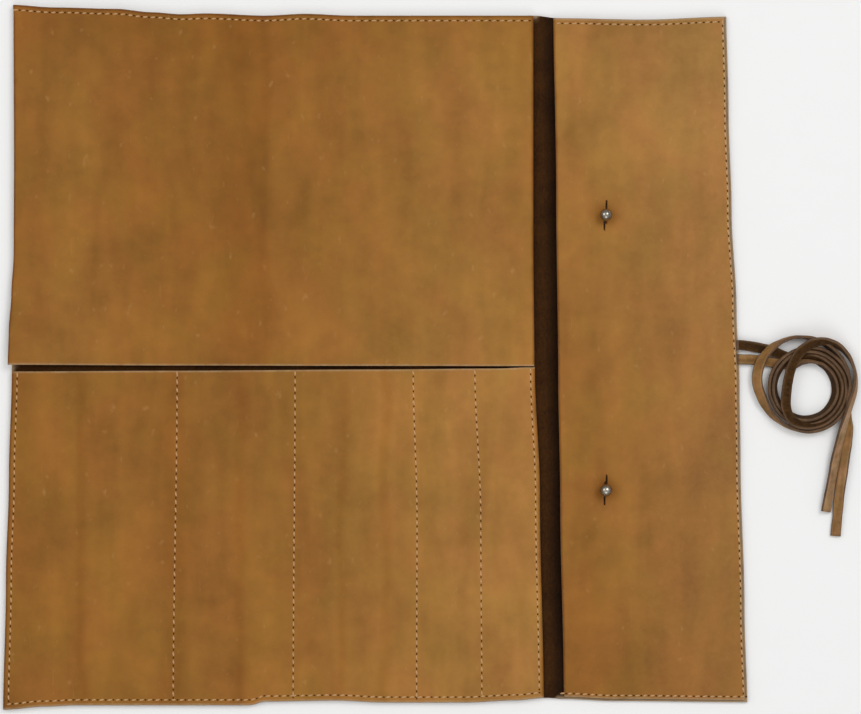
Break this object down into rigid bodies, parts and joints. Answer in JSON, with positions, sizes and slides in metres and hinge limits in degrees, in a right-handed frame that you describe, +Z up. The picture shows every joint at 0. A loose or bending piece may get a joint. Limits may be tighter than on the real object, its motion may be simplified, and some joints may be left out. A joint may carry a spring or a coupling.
{
  "type": "pencil case",
  "caption": "Leather fold-up pencil case, open: stitched pencil pockets under a top flap, a side pocket held by ball studs, and flat tie laces wound in a loose ring.",
  "frame": {"origin": "centre of the open case's footprint, on the surface it lies on", "axes": "+Z up out of the inside of the open case, +Y towards the flap's seam, +X towards the side pocket and the laces"},
  "size_m": [0.423, 0.348, 0.0144],
  "materials": {
    "leather_face": "oiled tan leather, grain side, softly rubbed",
    "leather_back": "dark brown flesh side of the leather, fibrous",
    "thread": "pale tan waxed sewing thread",
    "stud_metal": "polished nickel plate",
    "lace_leather": "cut leather lace, tan on one face and dark on the other"
  },
  "bodies": {
    "right_section": {"back_right": "leather_back", "flap_hem_right": "leather_face", "pocket_front_4": "leather_face", "pocket_front_5": "leather_face", "side_pocket_front": "leather_face", "stud_upper": "stud_metal", "stud_lower": "stud_metal", "stud_screw_upper": "stud_metal", "stud_screw_lower": "stud_metal", "thread_flap_right": "thread", "thread_pockets_right": "thread", "thread_divider_4": "thread", "thread_side_pocket": "thread", "lace_end_upper": "lace_leather", "lace_end_lower": "lace_leather", "lace_lead_upper": "lace_leather", "lace_lead_lower": "lace_leather", "lace_tail_upper": "lace_leather", "lace_tail_lower": "lace_leather", "lace_coil": "lace_leather"},
    "middle_section": {"back_middle": "leather_back", "flap_hem_middle": "leather_face", "pocket_front_2": "leather_face", "pocket_front_3": "leather_face", "thread_flap_middle": "thread", "thread_pockets_middle": "thread", "thread_divider_2": "thread", "thread_divider_3": "thread"},
    "left_section": {"back_left": "leather_back", "flap_hem_left": "leather_face", "pocket_front_1": "leather_face", "thread_flap_left": "thread", "thread_pockets_left": "thread", "thread_divider_1": "thread"},
    "flap_right": {"flap_right": "leather_face"},
    "flap_middle": {"flap_middle": "leather_face"},
    "flap_left": {"flap_left": "leather_face"}
  },
  "joints": [
    {"name": "main_fold", "type": "hinge", "parent": "right_section", "child": "middle_section", "pos_m": [0.0233, 0, 0.0159], "axis": [0, 1, 0], "range_deg": [0, 180]},
    {"name": "left_fold", "type": "hinge", "parent": "middle_section", "child": "left_section", "pos_m": [-0.097, 0, 0.0084], "axis": [0, 1, 0], "range_deg": [0, 180]},
    {"name": "flap_lift", "type": "hinge", "parent": "middle_section", "child": "flap_middle", "pos_m": [0, 0.168, 0.0045], "axis": [-1, 0, 0], "range_deg": [0, 180]},
    {"name": "flap_lift_left", "type": "hinge", "parent": "left_section", "child": "flap_left", "pos_m": [0, 0.168, 0.0045], "axis": [-1, 0, 0], "range_deg": [0, 180]},
    {"name": "flap_lift_right", "type": "hinge", "parent": "right_section", "child": "flap_right", "pos_m": [0, 0.168, 0.0045], "axis": [-1, 0, 0], "range_deg": [0, 180]}
  ],
  "couplings": [
    {"joint": "flap_lift_left", "follows": "flap_lift", "ratio": 1},
    {"joint": "flap_lift_right", "follows": "flap_lift", "ratio": 1}
  ]
}
